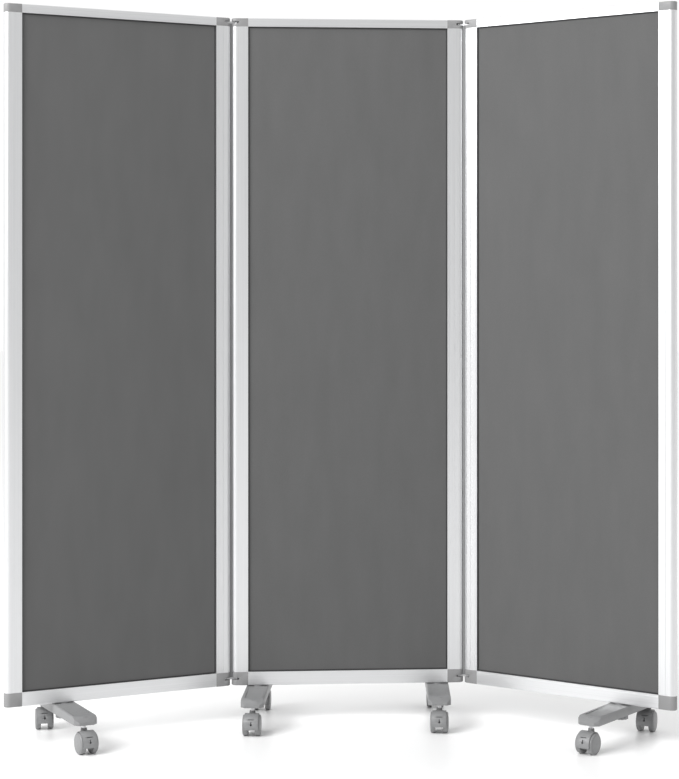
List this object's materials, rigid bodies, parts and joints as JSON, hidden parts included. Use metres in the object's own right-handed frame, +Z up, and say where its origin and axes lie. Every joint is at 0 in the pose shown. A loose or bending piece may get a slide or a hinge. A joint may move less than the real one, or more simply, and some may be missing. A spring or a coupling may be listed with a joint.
{
  "type": "folding partition wall",
  "caption": "Folding partition wall of felt-faced panels in aluminium frames, hinged in a row, on swivelling clamped feet with twin-wheel casters.",
  "frame": {"origin": "on the floor under the middle of the whole footprint, in the stored half-folded pose", "axes": "+Z up, X along the middle panel with the right panel at +X, -Y the front that both side panels lean towards"},
  "size_m": [1.6284, 0.6202, 1.8],
  "materials": {
    "aluminium": "satin clear-anodised extrusion",
    "grey_plastic": "fine moulded texture, mid grey",
    "board": "raw fibreboard, hidden between the felts",
    "felt": "neutral grey needled felt",
    "steel": "zinc-plated",
    "foot_plastic": "fine moulded texture, mid grey",
    "knob_plastic": "moulded, dark grey"
  },
  "bodies": {
    "middle_panel": {"middle_posts": "aluminium", "middle_top_rail": "aluminium", "middle_bottom_rail": "aluminium", "middle_corners": "grey_plastic", "middle_core_board": "board", "middle_felt_faces": "felt"},
    "left_panel": {"left_posts": "aluminium", "left_top_rail": "aluminium", "left_bottom_rail": "aluminium", "left_corners": "grey_plastic", "left_core_board": "board", "left_felt_faces": "felt"},
    "right_panel": {"right_posts": "aluminium", "right_top_rail": "aluminium", "right_bottom_rail": "aluminium", "right_corners": "grey_plastic", "right_core_board": "board", "right_felt_faces": "felt"},
    "left_link": {"left_hinge_links": "steel", "left_hinge_pins": "steel", "left_gap_strip": "grey_plastic"},
    "right_link": {"right_hinge_links": "steel", "right_hinge_pins": "steel", "right_gap_strip": "grey_plastic"},
    "left_foot": {"left_foot": "foot_plastic", "left_foot_stems": "steel"},
    "middle_left_foot": {"middle_left_foot": "foot_plastic", "middle_left_foot_stems": "steel"},
    "middle_right_foot": {"middle_right_foot": "foot_plastic", "middle_right_foot_stems": "steel"},
    "right_foot": {"right_foot": "foot_plastic", "right_foot_stems": "steel"},
    "left_knob": {"left_foot_knob": "knob_plastic"},
    "middle_left_knob": {"middle_left_foot_knob": "knob_plastic"},
    "middle_right_knob": {"middle_right_foot_knob": "knob_plastic"},
    "right_knob": {"right_foot_knob": "knob_plastic"},
    "left_front_caster": {"left_front_caster_hood": "foot_plastic", "left_front_caster_axle": "steel"},
    "left_front_wheels": {"left_front_caster_wheels": "foot_plastic"},
    "left_back_caster": {"left_back_caster_hood": "foot_plastic", "left_back_caster_axle": "steel"},
    "left_back_wheels": {"left_back_caster_wheels": "foot_plastic"},
    "middle_left_front_caster": {"middle_left_front_caster_hood": "foot_plastic", "middle_left_front_caster_axle": "steel"},
    "middle_left_front_wheels": {"middle_left_front_caster_wheels": "foot_plastic"},
    "middle_left_back_caster": {"middle_left_back_caster_hood": "foot_plastic", "middle_left_back_caster_axle": "steel"},
    "middle_left_back_wheels": {"middle_left_back_caster_wheels": "foot_plastic"},
    "middle_right_front_caster": {"middle_right_front_caster_hood": "foot_plastic", "middle_right_front_caster_axle": "steel"},
    "middle_right_front_wheels": {"middle_right_front_caster_wheels": "foot_plastic"},
    "middle_right_back_caster": {"middle_right_back_caster_hood": "foot_plastic", "middle_right_back_caster_axle": "steel"},
    "middle_right_back_wheels": {"middle_right_back_caster_wheels": "foot_plastic"},
    "right_front_caster": {"right_front_caster_hood": "foot_plastic", "right_front_caster_axle": "steel"},
    "right_front_wheels": {"right_front_caster_wheels": "foot_plastic"},
    "right_back_caster": {"right_back_caster_hood": "foot_plastic", "right_back_caster_axle": "steel"},
    "right_back_wheels": {"right_back_caster_wheels": "foot_plastic"}
  },
  "joints": [
    {"name": "left_link_hinge", "type": "hinge", "parent": "middle_panel", "child": "left_link", "pos_m": [-0.24517, 0.13715, 0], "axis": [0, 0, 1], "range_deg": [-101.5, 78.5]},
    {"name": "left_panel_hinge", "type": "hinge", "parent": "left_link", "child": "left_panel", "pos_m": [-0.27555, 0.13097, 0], "axis": [0, 0, 1], "range_deg": [-101.5, 78.5]},
    {"name": "right_link_hinge", "type": "hinge", "parent": "middle_panel", "child": "right_link", "pos_m": [0.32583, 0.13715, 0], "axis": [0, 0, 1], "range_deg": [-70.25, 109.75]},
    {"name": "right_panel_hinge", "type": "hinge", "parent": "right_link", "child": "right_panel", "pos_m": [0.35501, 0.12667, 0], "axis": [0, 0, 1], "range_deg": [-70.25, 109.75]},
    {"name": "left_foot_swivel", "type": "hinge", "parent": "left_panel", "child": "left_foot", "pos_m": [-0.67413, -0.03822, 0.093], "axis": [0, 0, 1], "range_deg": [-60, 60]},
    {"name": "middle_left_foot_swivel", "type": "hinge", "parent": "middle_panel", "child": "middle_left_foot", "pos_m": [-0.19117, 0.13715, 0.093], "axis": [0, 0, 1], "range_deg": [-53.4, 66.6]},
    {"name": "middle_right_foot_swivel", "type": "hinge", "parent": "middle_panel", "child": "middle_right_foot", "pos_m": [0.27183, 0.13715, 0.093], "axis": [0, 0, 1], "range_deg": [-55.2, 64.8]},
    {"name": "right_foot_swivel", "type": "hinge", "parent": "right_panel", "child": "right_foot", "pos_m": [0.68912, -0.14875, 0.093], "axis": [0, 0, 1], "range_deg": [-60, 60]},
    {"name": "left_front_caster_swivel", "type": "hinge", "parent": "left_foot", "child": "left_front_caster", "pos_m": [-0.61552, -0.17629, 0.058], "axis": [0, 0, 1], "continuous": true},
    {"name": "left_back_caster_swivel", "type": "hinge", "parent": "left_foot", "child": "left_back_caster", "pos_m": [-0.73274, 0.09986, 0.058], "axis": [0, 0, 1], "continuous": true},
    {"name": "middle_left_front_caster_swivel", "type": "hinge", "parent": "middle_left_foot", "child": "middle_left_front_caster", "pos_m": [-0.20841, -0.01186, 0.058], "axis": [0, 0, 1], "continuous": true},
    {"name": "middle_left_back_caster_swivel", "type": "hinge", "parent": "middle_left_foot", "child": "middle_left_back_caster", "pos_m": [-0.17393, 0.28615, 0.058], "axis": [0, 0, 1], "continuous": true},
    {"name": "middle_right_front_caster_swivel", "type": "hinge", "parent": "middle_right_foot", "child": "middle_right_front_caster", "pos_m": [0.25928, -0.01232, 0.058], "axis": [0, 0, 1], "continuous": true},
    {"name": "middle_right_back_caster_swivel", "type": "hinge", "parent": "middle_right_foot", "child": "middle_right_back_caster", "pos_m": [0.28438, 0.28662, 0.058], "axis": [0, 0, 1], "continuous": true},
    {"name": "right_front_caster_swivel", "type": "hinge", "parent": "right_foot", "child": "right_front_caster", "pos_m": [0.59371, -0.26449, 0.058], "axis": [0, 0, 1], "continuous": true},
    {"name": "right_back_caster_swivel", "type": "hinge", "parent": "right_foot", "child": "right_back_caster", "pos_m": [0.78453, -0.033, 0.058], "axis": [0, 0, 1], "continuous": true},
    {"name": "left_front_wheels_roll", "type": "hinge", "parent": "left_front_caster", "child": "left_front_wheels", "pos_m": [-0.60876, -0.19079, 0.0255], "axis": [0.9063, 0.4226, 0], "continuous": true},
    {"name": "left_back_wheels_roll", "type": "hinge", "parent": "left_back_caster", "child": "left_back_wheels", "pos_m": [-0.73051, 0.08401, 0.0255], "axis": [0.9903, 0.1392, 0], "continuous": true},
    {"name": "middle_left_front_wheels_roll", "type": "hinge", "parent": "middle_left_front_caster", "child": "middle_left_front_wheels", "pos_m": [-0.21036, -0.02774, 0.0255], "axis": [0.9925, -0.1219, 0], "continuous": true},
    {"name": "middle_left_back_wheels_roll", "type": "hinge", "parent": "middle_left_back_caster", "child": "middle_left_back_wheels", "pos_m": [-0.17588, 0.27027, 0.0255], "axis": [0.9925, -0.1219, 0], "continuous": true},
    {"name": "middle_right_front_wheels_roll", "type": "hinge", "parent": "middle_right_front_caster", "child": "middle_right_front_wheels", "pos_m": [0.25733, -0.02821, 0.0255], "axis": [0.9925, -0.1219, 0], "continuous": true},
    {"name": "middle_right_back_wheels_roll", "type": "hinge", "parent": "middle_right_back_caster", "child": "middle_right_back_wheels", "pos_m": [0.28243, 0.27074, 0.0255], "axis": [0.9925, -0.1219, 0], "continuous": true},
    {"name": "right_front_wheels_roll", "type": "hinge", "parent": "right_front_caster", "child": "right_front_wheels", "pos_m": [0.58342, -0.27675, 0.0255], "axis": [0.766, -0.6428, 0], "continuous": true},
    {"name": "right_back_wheels_roll", "type": "hinge", "parent": "right_back_caster", "child": "right_back_wheels", "pos_m": [0.77752, -0.04738, 0.0255], "axis": [0.8988, -0.4384, 0], "continuous": true},
    {"name": "left_knob_turn", "type": "hinge", "parent": "left_foot", "child": "left_knob", "pos_m": [-0.67413, -0.03822, 0.068], "axis": [0, 0, 1], "range_deg": [0, 360]},
    {"name": "middle_left_knob_turn", "type": "hinge", "parent": "middle_left_foot", "child": "middle_left_knob", "pos_m": [-0.19117, 0.13715, 0.068], "axis": [0, 0, 1], "range_deg": [0, 360]},
    {"name": "middle_right_knob_turn", "type": "hinge", "parent": "middle_right_foot", "child": "middle_right_knob", "pos_m": [0.27183, 0.13715, 0.068], "axis": [0, 0, 1], "range_deg": [0, 360]},
    {"name": "right_knob_turn", "type": "hinge", "parent": "right_foot", "child": "right_knob", "pos_m": [0.68912, -0.14875, 0.068], "axis": [0, 0, 1], "range_deg": [0, 360]}
  ]
}
